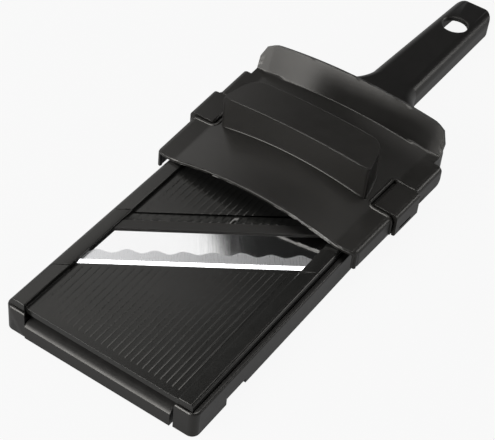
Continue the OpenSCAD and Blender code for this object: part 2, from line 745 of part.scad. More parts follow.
boss_x = 26;
boss_v = grip_near + grip_d / 2;
pin_plate_top = guard_top + 2.4;
pin_plate_t = 2;

// Cut that a side clip sits in, through the skirt and partly into the flange
clip_gap = 0.35;
recess_floor = guard_under + 0.8;
module clip_window() on_skirt() {
    translate([-guard_t - 4, clip_y - clip_gap, 0]) cube([20, clip_len + 2 * clip_gap, guard_top + 1]);
    translate([-13, clip_y - clip_gap, recess_floor]) cube([20, clip_len + 2 * clip_gap, 10]);
}

pivot_x = -2.4;
pivot_z = rail_top - 0.4;
lug_len = 3;

module guard_body() color(plastic) seated() difference() {
    union() {
        difference() {
            union() {
                guard_plate();
                both_sides() skirt();
                grip_block(0, guard_top + 0.5, 0);
            }
            grip_block(guard_t, 0, guard_t);
            both_sides() clip_window();
        }
        // runners that ride beside the frame walls, on both sides of each clip
        both_sides() intersection() {
            union() {
                runner(corner_r + 4, clip_y - 8);
                runner(clip_y + clip_len + 5, skirt_len - 8);
            }
            translate([half_w + gap, guard_y, 0]) cube([20, skirt_len, guard_under + 0.5]);
        }
        // lugs for the clips' pivot pins
        both_sides() on_skirt() for (v = [clip_y - clip_gap - lug_len, clip_y + clip_len + clip_gap])
            translate([pivot_x - 2.2, v, pivot_z - 2.2]) cube([2.2 - pivot_x - 0.4, lug_len, guard_under - pivot_z + 2.4]);
        // bosses for the pin plate's screws
        for (s = [-1, 1]) translate([s * boss_x, guard_y + boss_v, pin_plate_top])
            cylinder(h = grip_top - pin_plate_top, r = 3.4);
    }
    both_sides() on_skirt() translate([pivot_x, clip_y - clip_gap - lug_len - 1, pivot_z]) rotate([-90, 0, 0])
        cylinder(h = clip_len + 2 * (clip_gap + lug_len) + 2, r = clip_pin_r);
    for (s = [-1, 1]) translate([s * boss_x, guard_y + boss_v, 0]) cylinder(h = grip_top - 4, r = screw_r_small + run_gap);
}

module runner(v0, v1) {
    on_skirt() translate([-9, v0, skirt_low]) cube([9 - 0.5, v1 - v0, guard_under - skirt_low + 0.4]);
}

module food_pin_plate() color(plastic_dark) seated() difference() {
    translate([0, guard_y, pin_plate_top - pin_plate_t]) linear_extrude(pin_plate_t) grip_plan(guard_t + 0.3);
    for (s = [-1, 1]) translate([s * boss_x, guard_y + boss_v, 0]) cylinder(h = 60, r = screw_r_small + run_gap);
    for (p = pin_spots) translate([p[0], guard_y + p[1], 0]) cylinder(h = 60, r = pin_r);
}

// Pins that hold the food: two rows, staggered
pin_r = 0.9;
pin_spots = [for (i = [-4:4]) [i * 8, boss_v + (i % 2 == 0 ? -4 : 4)]];
pin_tip = blade_top + clamp_rise + 0.6;
module food_pins() color(steel) seated() for (p = pin_spots) translate([p[0], guard_y + p[1], pin_tip]) {
    cylinder(h = 1.4, r1 = 0.15, r2 = pin_r);
    translate([0, 0, 1.4]) cylinder(h = pin_plate_top - pin_tip - 1.4, r = pin_r);
}

module pin_plate_screws() color(steel) seated() for (s = [-1, 1])
    screw_up(s * boss_x, guard_y + boss_v, pin_plate_top - pin_plate_t, pin_plate_top + 7,
        screw_r_small, head_r_small, head_h_small);

// ---- Side clips ----

arm_t = 1.9;
arm_low = skirt_low - 1.2;
tongue_t = 2;
tongue_low = recess_floor + 0.35;
tongue_in = -11.5;
barb_z = 11;

module clip() {
    corner = 2.4;
    top = tongue_low + tongue_t;
    out = arm_t + 0.4;
    on_skirt() translate([0, clip_y, 0]) difference() {
        union() {
            translate([0, clip_len, 0]) rotate([90, 0, 0]) linear_extrude(clip_len) difference() {
                polygon(concat(
                    [[tongue_in, tongue_low], [tongue_in, top - 0.8], [tongue_in + 0.8, top]],
                    [for (a = [90:-15:0]) [out - corner + corner * cos(a), top - corner + corner * sin(a)]],
                    [[out, arm_low + 0.6], [out - 0.6, arm_low], [0.4, arm_low]],
                    // barb that locks the parked guard to the frame
                    [[0.4, barb_z - 0.9], [barb_in, barb_z - 0.9], [barb_in, barb_z + 0.3], [0.4, barb_z + 1.4]],
                    [[0.4, tongue_low]]));
            }
            // knuckle round the pivot pin
            translate([pivot_x, 0, pivot_z]) rotate([-90, 0, 0]) cylinder(h = clip_len, r = clip_pin_r + 1.1);
            translate([pivot_x, 0, pivot_z - 0.6]) cube([3, clip_len, tongue_low - pivot_z + 0.8]);
        }
        translate([pivot_x, -1, pivot_z]) rotate([-90, 0, 0]) cylinder(h = clip_len + 2, r = clip_pin_r + run_gap);
        // thumb slot low on the outer face
        translate([0.2, 4, arm_low + 2.2]) cube([arm_t + 1, 10, 1.2]);
        // the near corner of the tongue is cut back
        translate([tongue_in, 0, 0]) rotate([0, 0, -50]) translate([-6, -9, 0]) cube([12, 9, 40]);
    }
}
barb_in = half_w + 0.6 - guard_half - (clip_y + clip_len / 2) * tan(skirt_spread);

module clip_right() color(plastic) seated() clip();
module clip_left() color(plastic) seated() mirror([1, 0, 0]) clip();

module clip_pin() {
    on_skirt() translate([pivot_x, clip_y - clip_gap - lug_len + 0.1, pivot_z]) rotate([-90, 0, 0])
        cylinder(h = clip_len + 2 * (clip_gap + lug_len) - 0.2, r = clip_pin_r);
}
module clip_pin_right() color(steel) seated() clip_pin();
module clip_pin_left() color(steel) seated() mirror([1, 0, 0]) clip_pin();

frame();
handle();
front_foot_bar();
foot_bar_screws();
dial_bridge();
bridge_screws();
thickness_dial();
dial_retainer();
detent_ball();
detent_spring();
guide_pins();
infeed_plate();
blade_carrier();
blade();
blade_clamp();
blade_screws();
carrier_screws();
outfeed_plate();
outfeed_screws();
guard_body();
food_pin_plate();
food_pins();
pin_plate_screws();
clip_left();
clip_right();
clip_pin_left();
clip_pin_right();
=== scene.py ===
from math import cos, hypot, pi, radians, sin, sqrt, tan

import bmesh
import bpy
from mathutils import Matrix, Vector


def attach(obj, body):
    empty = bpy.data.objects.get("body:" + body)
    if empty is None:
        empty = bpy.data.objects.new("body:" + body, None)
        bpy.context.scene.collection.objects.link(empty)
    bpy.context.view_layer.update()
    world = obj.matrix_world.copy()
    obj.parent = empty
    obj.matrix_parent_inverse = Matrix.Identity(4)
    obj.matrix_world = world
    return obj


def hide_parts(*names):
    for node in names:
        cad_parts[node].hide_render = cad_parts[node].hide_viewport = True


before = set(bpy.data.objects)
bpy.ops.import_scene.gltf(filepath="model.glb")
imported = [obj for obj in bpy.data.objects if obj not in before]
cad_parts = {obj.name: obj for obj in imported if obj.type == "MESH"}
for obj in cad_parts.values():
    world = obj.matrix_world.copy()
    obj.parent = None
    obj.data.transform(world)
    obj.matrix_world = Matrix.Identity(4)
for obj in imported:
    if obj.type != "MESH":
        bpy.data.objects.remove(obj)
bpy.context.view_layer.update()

SEAT = (
    Matrix.Translation((0, -0.17388394, 0))
    @ Matrix.Rotation(radians(1.06914910), 4, "X")
    @ Matrix.Scale(0.001, 4)
)

# Corners this close together, in metres, are one
SAME_PLACE = 2e-6

# Levels and places shared by the pieces
HALF_W = 52.5
TRAY_LEN = 222
WALL_TOP = 14.8
NEAR_CORNER_R, FAR_CORNER_R = 4, 12
RAIL_TOP = 19.0
RAIL_IN = 42.2
INFEED_TOP = 16.4
BLADE_TOP = 16.9
SKEW = radians(36)
SEAM_Y = 64
EDGE_BACK = 4.9
FAR_SEAM = 110
GUARD_Y = 118
GUARD_HALF = 57.5
GUARD_TOP = 21.3
GUARD_T = 2
# Radius of the bend from the guard's flange into its skirts
BEND_R = 3
SPREAD = radians(1.7)
SKIRT_LEN = 79
SKIRT_LOW = 10.6
CROWN_HALF, CROWN = 47, 6.1
SHIELD_HALF = 51.9
SHIELD_BEND, SHIELD_END, SHIELD_BOW, SHIELD_RISE = 81.5, 87.2, 3, 15.2
RIM_CORNER, RIM_DROP = 8.6, 3.2
GRIP_NEAR, GRIP_D, GRIP_HALF = 33.5, 21, 42.5
GRIP_TOP, GRIP_SAG = 41.5, 2.2
CLIP_V, CLIP_LEN, CLIP_GAP = 33.5, 21, 0.35
PIVOT_X, PIVOT_Z = -2.4, 18.6
BOSS_X = 26

# Ribs on the plates: pitch, height, how many on each side of the middle one
RIB_PITCH, RIB_H, RIBS = 3.2, 0.22, 12

# Where the blade's band ends, in metres across the blade once it is turned
BAND_AT = 0.0012


# ---- Workshop helpers ----

def nothing_selected():
    if bpy.context.object and bpy.context.object.mode != "OBJECT":
        bpy.ops.object.mode_set(mode="OBJECT")
    bpy.ops.object.select_all(action="DESELECT")


def work_on(piece):
    nothing_selected()
    piece.select_set(True)
    bpy.context.view_layer.objects.active = piece


def finish_modifiers(piece):
    work_on(piece)
    for modifier in list(piece.modifiers):
        bpy.ops.object.modifier_apply(modifier=modifier.name)


def place_in_mesh(piece):
    piece.data.transform(piece.matrix_basis)
    piece.matrix_basis = Matrix.Identity(4)


def edit(piece):
    form = bmesh.new()
    form.from_mesh(piece.data)
    return form


def keep(form, piece):
    form.to_mesh(piece.data)
    form.free()
    piece.data.update()


def soften_edges(piece, width, segments=2, angle=35):
    bevel = piece.modifiers.new("soft edges", "BEVEL")
    bevel.limit_method = "ANGLE"
    bevel.angle_limit = radians(angle)
    bevel.width = width
    bevel.segments = segments
    bevel.miter_outer = "MITER_ARC"
    finish_modifiers(piece)
    weld(piece)


def weld(piece):
    """Closes the faces of no width that a bevel leaves where it has no room."""
    form = edit(piece)
    bmesh.ops.remove_doubles(form, verts=form.verts, dist=1e-6)
    keep(form, piece)


def smooth_faces(piece, angle=32):
    work_on(piece)
    bpy.ops.object.shade_smooth_by_angle(angle=radians(angle))


def even_normals(piece):
    weights = piece.modifiers.new("even normals", "WEIGHTED_NORMAL")
    weights.keep_sharp = True
    weights.weight = 80
    finish_modifiers(piece)


def facing_out(piece):
    form = edit(piece)
    bmesh.ops.remove_doubles(form, verts=form.verts, dist=1e-4)
    bmesh.ops.recalc_face_normals(form, faces=form.faces)
    keep(form, piece)


def block(name, low, high):
    nothing_selected()
    middle = [(a + b) / 2 for a, b in zip(low, high)]
    bpy.ops.mesh.primitive_cube_add(size=1, location=middle)
    piece = bpy.context.object
    piece.name = name
    piece.scale = [b - a for a, b in zip(low, high)]
    place_in_mesh(piece)
    return piece


def post(name, at, radius, low, high, sides=48):
    nothing_selected()
    bpy.ops.mesh.primitive_cylinder_add(
        vertices=sides, radius=radius, depth=high - low, location=(at[0], at[1], (low + high) / 2)
    )
    piece = bpy.context.object
    piece.name = name
    place_in_mesh(piece)
    return piece


def prism(name, outline, low, high):
    """An upright prism over an outline that runs counter-clockwise."""
    data = bpy.data.meshes.new(name)
    piece = bpy.data.objects.new(name, data)
    bpy.context.collection.objects.link(piece)
    form = bmesh.new()
    base = form.faces.new([form.verts.new((x, y, low)) for x, y in outline])
    grown = bmesh.ops.extrude_face_region(form, geom=[base])
    for vert in grown["geom"]:
        if isinstance(vert, bmesh.types.BMVert):
            vert.co.z = high
    bmesh.ops.recalc_face_normals(form, faces=form.faces)
    keep(form, piece)
    return piece


def cut_away(piece, *cutters):
    for cutter in cutters:
        cut = piece.modifiers.new("cut", "BOOLEAN")
        cut.operation = "DIFFERENCE"
        cut.solver = "EXACT"
        cut.object = cutter
        finish_modifiers(piece)
    for cutter in cutters:
        bpy.data.objects.remove(cutter)


def joined(name, pieces):
    nothing_selected()
    for piece in pieces:
        piece.select_set(True)
    bpy.context.view_layer.objects.active = pieces[0]
    if len(pieces) > 1:
        bpy.ops.object.join()
    pieces[0].name = name
    return pieces[0]


def other_side(piece):
    copy = piece.copy()
    copy.data = piece.data.copy()
    bpy.context.collection.objects.link(copy)
    copy.data.transform(Matrix.Scale(-1, 4, (1, 0, 0)))
    copy.data.flip_normals()
    return copy


def seat_on_table(piece):
    piece.data.transform(SEAT)
    piece.data.update()


def paint(piece, finish):
    piece.data.materials.clear()
    piece.data.materials.append(finish)


# ---- Finishes ----

def new_finish(name):
    finish = bpy.data.materials.new(name)
    finish.use_nodes = True
    nodes, links = finish.node_tree.nodes, finish.node_tree.links
    return finish, nodes, links, nodes["Principled BSDF"]


def noise(nodes, links, where, scale, detail=4, rough=0.5):
    texture = nodes.new("ShaderNodeTexNoise")
    texture.inputs["Scale"].default_value = scale
    texture.inputs["Detail"].default_value = detail
    texture.inputs["Roughness"].default_value = rough
    links.new(where, texture.inputs["Vector"])
    return texture.outputs["Fac"]


def spread_over(nodes, links, value, low, high, out_low, out_high):
    stretch = nodes.new("ShaderNodeMapRange")
    stretch.inputs["From Min"].default_value = low
    stretch.inputs["From Max"].default_value = high
    stretch.inputs["To Min"].default_value = out_low
    stretch.inputs["To Max"].default_value = out_high
    links.new(value, stretch.inputs["Value"])
    return stretch.outputs["Result"]


def between_tones(nodes, links, value, dark, light):
    blend = nodes.new("ShaderNodeMix")
    blend.data_type = "RGBA"
    blend.inputs[6].default_value = (*dark, 1)
    blend.inputs[7].default_value = (*light, 1)
    links.new(value, blend.inputs[0])
    return blend.outputs[2]


def raised(nodes, links, height, depth, strength, under=None):
    bump = nodes.new("ShaderNodeBump")
    bump.inputs["Distance"].default_value = depth
    bump.inputs["Strength"].default_value = strength
    links.new(height, bump.inputs["Height"])
    if under:
        links.new(under, bump.inputs["Normal"])
    return bump.outputs["Normal"]


def moulded_plastic(name, dark, light, rough_low, rough_high, grain=1500):
    finish, nodes, links, shader = new_finish(name)
    where = nodes.new("ShaderNodeTexCoord").outputs["Object"]
    flow = noise(nodes, links, where, 26, 3, 0.55)
    fine = noise(nodes, links, where, grain, 5, 0.6)
    rub = noise(nodes, links, where, 210, 6, 0.65)
    tone = spread_over(nodes, links, flow, 0.3, 0.7, 0, 1)
    links.new(between_tones(nodes, links, tone, dark, light), shader.inputs["Base Color"])
    links.new(spread_over(nodes, links, rub, 0.3, 0.7, rough_low, rough_high), shader.inputs["Roughness"])
    swell = raised(nodes, links, flow, 0.0004, 0.12)
    links.new(raised(nodes, links, fine, 0.00002, 0.55, swell), shader.inputs["Normal"])
    shader.inputs["IOR"].default_value = 1.5
    shader.inputs["Specular Tint"].default_value = (1, 0.975, 0.93, 1)
    return finish


def turned_steel(name, tone, rough):
    finish, nodes, links, shader = new_finish(name)
    where = nodes.new("ShaderNodeTexCoord").outputs["Object"]
    marks = noise(nodes, links, where, 1900, 6, 0.7)
    stain = noise(nodes, links, where, 140, 4, 0.6)
    stained = [c * 0.86 for c in tone]
    links.new(between_tones(nodes, links, stain, stained, tone), shader.inputs["Base Color"])
    rough = spread_over(nodes, links, marks, 0.3, 0.7, rough * 0.75, rough * 1.3)
    links.new(rough, shader.inputs["Roughness"])
    links.new(raised(nodes, links, marks, 0.00001, 0.4), shader.inputs["Normal"])
    shader.inputs["Metallic"].default_value = 1
    return finish


def arithmetic(nodes, links, operation, a, b=None):
    step = nodes.new("ShaderNodeMath")
    step.operation = operation
    for socket, value in zip(step.inputs, (a, b)):
        if value is None:
            continue
        if isinstance(value, (int, float)):
            socket.default_value = value
        else:
            links.new(value, socket)
    return step.outputs[0]


def ground_steel(name):
    """Fine grinding lines across the blade, a satin band along its cutting edge, and a wavy
    line where the band meets the polished back."""
    finish, nodes, links, shader = new_finish(name)
    where = nodes.new("ShaderNodeTexCoord").outputs["Object"]
    turned = nodes.new("ShaderNodeMapping")
    turned.inputs["Rotation"].default_value = (0, 0, -SKEW)
    turned.inputs["Location"].default_value = (0, 0.08, 0)
    links.new(where, turned.inputs["Vector"])
    split = nodes.new("ShaderNodeSeparateXYZ")
    links.new(turned.outputs["Vector"], split.inputs[0])
    along, across = split.outputs["X"], split.outputs["Y"]
    wave = arithmetic(nodes, links, "SINE",
        arithmetic(nodes, links, "ADD", arithmetic(nodes, links, "MULTIPLY", along, 2 * pi / 0.0134), 0.6))
    wander = noise(nodes, links, where, 60, 2, 0.5)
    height = arithmetic(nodes, links, "ADD",
        arithmetic(nodes, links, "MULTIPLY", wave, 0.0011),
        arithmetic(nodes, links, "MULTIPLY", wander, 0.003))
    place = arithmetic(nodes, links, "SUBTRACT", across, height)
    temper = spread_over(nodes, links, place, BAND_AT - 0.0003, BAND_AT + 0.0003, 0, 1)
    streaks = nodes.new("ShaderNodeMapping")
    streaks.inputs["Scale"].default_value = (60, 1, 1)
    links.new(turned.outputs["Vector"], streaks.inputs["Vector"])
    lines = noise(nodes, links, streaks.outputs["Vector"], 55, 5, 0.7)
    tone = between_tones(nodes, links, temper, (0.80, 0.80, 0.81), (0.90, 0.90, 0.90))
    links.new(tone, shader.inputs["Base Color"])
    rough = arithmetic(nodes, links, "ADD",
        spread_over(nodes, links, temper, 0, 1, 0.28, 0.07),
        spread_over(nodes, links, lines, 0.3, 0.7, -0.03, 0.05))
    links.new(rough, shader.inputs["Roughness"])
    links.new(raised(nodes, links, lines, 0.00001, 0.35), shader.inputs["Normal"])
    shader.inputs["Metallic"].default_value = 1
    return finish


charcoal = moulded_plastic(
    "charcoal plastic", (0.0055, 0.0053, 0.0051), (0.0075, 0.0072, 0.0069), 0.3, 0.34
)
guard_grey = moulded_plastic(
    "guard plastic", (0.006, 0.0056, 0.0051), (0.008, 0.0075, 0.0068), 0.33, 0.37, 1700
)
plate_grey = moulded_plastic(
    "plate plastic", (0.006, 0.006, 0.0056), (0.0085, 0.0085, 0.008), 0.2, 0.24
)
coal_black = moulded_plastic(
    "black plastic", (0.0045, 0.0043, 0.0041), (0.0065, 0.0062, 0.006), 0.38, 0.46, 1200
)
knob_grey = moulded_plastic(
    "knob plastic", (0.02, 0.02, 0.02), (0.028, 0.027, 0.026), 0.38, 0.5, 1400
)
bright_steel = turned_steel("screw steel", (0.72, 0.72, 0.73), 0.28)
spring_wire = turned_steel("spring wire", (0.6, 0.6, 0.6), 0.34)
blade_steel = ground_steel("ground blade steel")


# ---- Mouldings that keep the frame's own shape, with their edges broken ----

def raw_copy(node, name):
    piece = bpy.data.objects.new(name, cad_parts[node].data.copy())
    bpy.context.collection.objects.link(piece)
    form = edit(piece)
    bmesh.ops.remove_doubles(form, verts=form.verts, dist=SAME_PLACE)
    keep(form, piece)
    return piece


def plain_faces(piece, most=60):
    """Joins flat triangles into larger faces, and splits those with more than most corners."""
    form = edit(piece)
    bmesh.ops.remove_doubles(form, verts=form.verts, dist=SAME_PLACE)
    bmesh.ops.dissolve_limit(form, angle_limit=radians(0.6), verts=form.verts, edges=form.edges)
    bmesh.ops.triangulate(form, faces=[f for f in form.faces if len(f.verts) > most])
    keep(form, piece)


def round_long_edges(piece, width, segments, chosen):
    """Rounds the sharp edges that chosen(a, b) picks by their ends in the slicer's frame."""
    level = SEAT.inverted()
    form = edit(piece)
    sharp = [
        e for e in form.edges
        if len(e.link_faces) == 2 and e.calc_face_angle(0) > radians(40)
        and chosen(level @ e.verts[0].co, level @ e.verts[1].co)
    ]
    bmesh.ops.bevel(
        form, geom=sharp, offset=width * 0.001, segments=segments, profile=0.5, affect="EDGES"
    )
    keep(form, piece)


def stands_for(piece, node, finish, body):
    paint(piece, finish)
    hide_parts(*node.split())
    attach(piece, body)


def moulding(node, name, width, finish, body, segments=2, smooth=32):
    """One of the frame's own nodes, its edges softened by width, in millimetres."""
    piece = raw_copy(node, name)
    plain_faces(piece)
    if width:
        soften_edges(piece, width * 0.001, segments)
    smooth_faces(piece, smooth)
    if width:
        even_normals(piece)
    stands_for(piece, node, finish, body)
    return piece


def on_tray_outline(p):
    """Whether p lies on the tray's outer edge seen from above, apart from its straight far end."""
    x, near = abs(p.x), 0.1
    far_y = TRAY_LEN - FAR_CORNER_R
    from_near = hypot(x - HALF_W + NEAR_CORNER_R, p.y - NEAR_CORNER_R)
    from_far = hypot(x - HALF_W + FAR_CORNER_R, p.y - far_y)
    near_corner = p.y < NEAR_CORNER_R + near and from_near > NEAR_CORNER_R - near
    far_corner = p.y > far_y - near and from_far > FAR_CORNER_R - near
    return x > HALF_W - near or p.y < near or near_corner or far_corner


def on_tray_rim(a, b):
    return all(abs(p.z - WALL_TOP) < 0.05 and on_tray_outline(p) for p in (a, b))


def across_rails(a, b):
    return min(a.z, b.z) > RAIL_TOP - 1.7 and abs(a.x - b.x) > 0.5


def tray_with_handle():
    """The tray and its handle in one moulding, with the flare run into the tray's back."""
    piece = raw_copy("frame", "tray_and_handle")
    handle = raw_copy("handle", "handle_copy")
    fuse = piece.modifiers.new("fuse", "BOOLEAN")
    fuse.operation = "UNION"
    fuse.solver = "EXACT"
    fuse.object = handle
    finish_modifiers(piece)
    bpy.data.objects.remove(handle)
    # The rim is one ring of a face, which closes over the tray unless it is split
    plain_faces(piece, 16)
    round_long_edges(piece, 1.2, 4, on_tray_rim)
    soften_edges(piece, 0.0007, 3)
    smooth_faces(piece, 32)
    even_normals(piece)
    stands_for(piece, "frame handle", charcoal, "base")


def seam(y0, x):
    return y0 + x * tan(SKEW)


def rib_field(name, top, start, end):
    """Fine rounded ribs along the tray, each run out flat at both ends."""
    section = [(-0.55, 0), (-0.44, 0.6), (-0.25, 1), (0.25, 1), (0.44, 0.6), (0.55, 0)]
    # Places under 1 count from the rib's start, and the others back from its end
    ends, sunk = 2.4, 0.2
    stations = ((0, -sunk), (0.0001, 0), (0.7, 1), (1.7, 1), (2.3999, 0), (ends, -sunk))
    data = bpy.data.meshes.new(name)
    piece = bpy.data.objects.new(name, data)
    bpy.context.collection.objects.link(piece)
    form = bmesh.new()
    for i in range(-RIBS, RIBS + 1):
        last = None
        for place, height in stations:
            row = []
            for across, share in section:
                x = i * RIB_PITCH + across
                y0, y1 = start(x), end(x)
                y = y0 + place if place < 1 else y1 - (ends - place)
                low = 0 if share else -sunk
                rise = RIB_H * share * height if height > 0 else height
                row.append(form.verts.new((x, y, top + rise + low)))
            if last:
                for k in range(5):
                    form.faces.new((last[k], last[k + 1], row[k + 1], row[k]))
                form.faces.new((last[5], last[0], row[0], row[5]))
            else:
                form.faces.new(row[::-1])
            last = row
        form.faces.new(last)
    bmesh.ops.recalc_face_normals(form, faces=form.faces)
    keep(form, piece)
    smooth_faces(piece, 70)
    seat_on_table(piece)
    return piece


def ribbed_plate(node, name, top, start, end, body):
    """A plate with its rails, and its ribs laid on it."""
    plate = raw_copy(node, name)
    deck = RAIL_IN - 2.4
    shave = block("shave", (-deck, 0, top + 0.0006), (deck, 205, top + 0.6))
    seat_on_table(shave)
    cut_away(plate, shave)
    plain_faces(plate)
    round_long_edges(plate, 0.4, 2, across_rails)
    soften_edges(plate, 0.0002, 2, 50)
    smooth_faces(plate, 32)
    even_normals(plate)
    for piece in (plate, rib_field(name + "_ribs", top, start, end)):
        stands_for(piece, node, plate_grey, body)


tray_with_handle()
ribbed_plate(
    "infeed_plate", "infeed", INFEED_TOP,
    lambda x: 6.5, lambda x: seam(SEAM_Y + EDGE_BACK - 3, x), "infeed"
)
ribbed_plate(
    "blade_carrier", "cartridge", BLADE_TOP,
    lambda x: seam(SEAM_Y + 39.2, x), lambda x: seam(FAR_SEAM - 0.2, x), "base"
)
ribbed_plate(
    "outfeed_plate", "outfeed", BLADE_TOP,
    lambda x: seam(FAR_SEAM + 0.4, x), lambda x: 199, "base"
)
moulding("front_foot_bar", "foot_bar", 0.8, coal_black, "base", 3)
moulding("blade_clamp", "clamp_strip", 0.3, coal_black, "base", 3)
moulding("clip_left", "left_clip", 0.45, guard_grey, "clip_left", 3)
moulding("clip_right", "right_clip", 0.45, guard_grey, "clip_right", 3)
moulding("thickness_dial", "knurled_dial", 0.25, knob_grey, "dial", 2)
moulding("dial_bridge", "dial_carrier", 0.35, coal_black, "base", 2)
moulding("food_pin_plate", "pin_plate", 0.35, coal_black, "guard", 2)
moulding("blade", "slicing_blade", 0, blade_steel, "base")

for node, name, body in (
    ("foot_bar_screws", "screws_of_foot_bar", "base"),
    ("bridge_screws", "screws_of_dial_carrier", "base"),
    ("blade_screws", "screws_of_blade", "base"),
    ("carrier_screws", "screws_of_cartridge", "base"),
    ("outfeed_screws", "screws_of_outfeed", "base"),
    ("pin_plate_screws", "screws_of_pin_plate", "guard"),
):
    moulding(node, name, 0.12, bright_steel, body)
for node, name, body in (
    ("guide_pins", "guide_posts", "base"),
    ("dial_retainer", "snap_ring", "dial"),
    ("detent_ball", "click_ball", "base"),
    ("food_pins", "food_prongs", "guard"),
    ("clip_pin_left", "left_pivot", "guard"),
    ("clip_pin_right", "right_pivot", "guard"),
):
    moulding(node, name, 0, bright_steel, body)
moulding("detent_spring", "click_spring", 0, spring_wire, "base", smooth=60)


# ---- Guard cover: flange, crown, shield and skirts in one sheet ----

def shield_half(v):
    return SHIELD_HALF + 1.25 * v * tan(SPREAD)


def bend_at(u):
    return SHIELD_BEND + SHIELD_BOW * u * u


def rim_at(u):
    corner = max(0, 1 - (1 - abs(u)) * SHIELD_HALF / RIM_CORNER)
    return SHIELD_END + SHIELD_BOW * u * u - RIM_DROP * (1 - sqrt(max(0, 1 - corner * corner)))


def cover_top(x, v):
    half = CROWN_HALF + v * tan(SPREAD)
    height = GUARD_TOP
    if abs(x) < half:
        height += CROWN * (1 - (x / half) ** 2)
    past = v - bend_at(x / shield_half(v))
    if past > 0:
        height += past * SHIELD_RISE / (SHIELD_END - SHIELD_BEND)
    return height


def skirt_bottom(v):
    corner_r = 3
    past = v - SKIRT_LEN + corner_r
    if past > 0:
        return SKIRT_LOW + corner_r - sqrt(max(0, corner_r ** 2 - past ** 2))
    return SKIRT_LOW


def cover_row(v):
    """The section across the guard at v, from the left skirt's foot to the right one's."""
    out = GUARD_HALF + v * tan(SPREAD)
    low = skirt_bottom(v)
    bend_z = GUARD_TOP - BEND_R
    side = [(out, low), (out, low + (bend_z - low) * 0.5), (out, bend_z)]
    for step in range(1, 7):
        a = radians(15 * step)
        side.append((out - BEND_R + BEND_R * cos(a), bend_z + BEND_R * sin(a)))
    half = CROWN_HALF + v * tan(SPREAD)
    side.append((shield_half(v), GUARD_TOP))
    side.append(((shield_half(v) + half) / 2, GUARD_TOP))
    right = side + [(half, GUARD_TOP)]
    left = [(-x, z) for x, z in reversed(right)]
    middle, steps = [], 44
    for step in range(1, steps):
        x = half * (1 - 2 * step / steps)
        middle.append((x, cover_top(x, v)))
    return right + middle + left


def guard_cover():
    nothing_selected()
    stops = [0, 1] + [3 + 3.65 * i for i in range(20)] + [75, 76, 77, 78, 78.6, SKIRT_LEN]
    columns = len(cover_row(0))
    skirt_columns = 9
    foot_rows, wall_rows = 3, 12
    bpy.ops.mesh.primitive_grid_add(x_subdivisions=columns - 1, y_subdivisions=len(stops) - 1, size=2)
    piece = bpy.context.object
    piece.name = "guard_cover"
    form = edit(piece)
    form.verts.ensure_lookup_table()
    rows = []
    for j, v in enumerate(stops):
        row = form.verts[j * columns : (j + 1) * columns]
        for vert, (x, z) in zip(row, cover_row(v)):
            vert.co = (x, GUARD_Y + v, z)
        rows.append(row)
    last = rows[-1][skirt_columns : columns - skirt_columns]
    starts = [vert.co.x / shield_half(SKIRT_LEN) for vert in last]
    for step in range(1, foot_rows + wall_rows + 1):
        row = []
        for u in starts:
            foot = bend_at(u)
            if step <= foot_rows:
                v = SKIRT_LEN + (foot - SKIRT_LEN) * step / foot_rows
            else:
                v = foot + (rim_at(u) - foot) * (step - foot_rows) / wall_rows
            x = u * shield_half(v)
            row.append(form.verts.new((x, GUARD_Y + v, cover_top(x, v))))
        for i in range(len(row) - 1):
            form.faces.new((last[i], last[i + 1], row[i + 1], row[i]))
        last = row
    bmesh.ops.recalc_face_normals(form, faces=form.faces)
    form.faces.ensure_lookup_table()
    top = max(form.faces, key=lambda face: face.calc_center_median().z)
    if top.normal.z < 0:
        bmesh.ops.reverse_faces(form, faces=form.faces)
    keep(form, piece)
    wall = piece.modifiers.new("wall", "SOLIDIFY")
    wall.thickness = GUARD_T
    wall.offset = -1
    wall.use_even_offset = True
    finish_modifiers(piece)
    return piece


def along_skirt(piece, side=1):
    """Turns a mesh drawn in the right skirt's own frame into the slicer's frame."""
    turn = Matrix.Translation((GUARD_HALF, GUARD_Y, 0)) @ Matrix.Rotation(-SPREAD, 4, "Z")
    piece.data.transform(turn)
    if side < 0:
        piece.data.transform(Matrix.Scale(-1, 4, (1, 0, 0)))
        piece.data.flip_normals()
    return piece


def arc(centre, across, up, angles):
    """Points round a centre, across * cos and up * sin of each angle away from it."""
    x, y = centre
    return [(x + across * cos(radians(a)), y + up * sin(radians(a))) for a in angles]


def clip_windows():
    """Cutters for each side: the near corner's rounding, the clip's window and its recess."""
    cutters = []
    corner = [(2, -2), (2, 5), *arc((-5, 5), 5, -5, range(0, 91, 10)), (-5, -2)]
    low, high = CLIP_V - CLIP_GAP, CLIP_V + CLIP_LEN + CLIP_GAP
    for side in (1, -1):
        cutters.append(along_skirt(prism("corner", corner, 0, 30), side))
        cutters.append(along_skirt(block("window", (-6, low, 0), (14, high, 22.4)), side))
        cutters.append(along_skirt(block("recess", (-13, low, 20.1), (7, high, 30)), side))
    return cutters


def bead_along(points, radius, closed=False):
    """A round bead through points given across, along and above the guard."""
    curve = bpy.data.curves.new("bead", "CURVE")
    curve.dimensions = "3D"
    curve.bevel_depth = radius
    curve.bevel_resolution = 4
    curve.use_fill_caps = True
    line = curve.splines.new("POLY")
    line.use_cyclic_u = closed
    line.points.add(len(points) - 1)
    for point, (x, v, z) in zip(line.points, points):
        point.co = (x, GUARD_Y + v, z, 1)
    bead = bpy.data.objects.new("bead", curve)
    bpy.context.collection.objects.link(bead)
    work_on(bead)
    bpy.ops.object.convert(target="MESH")
    bead = bpy.context.object
    facing_out(bead)
    return bead


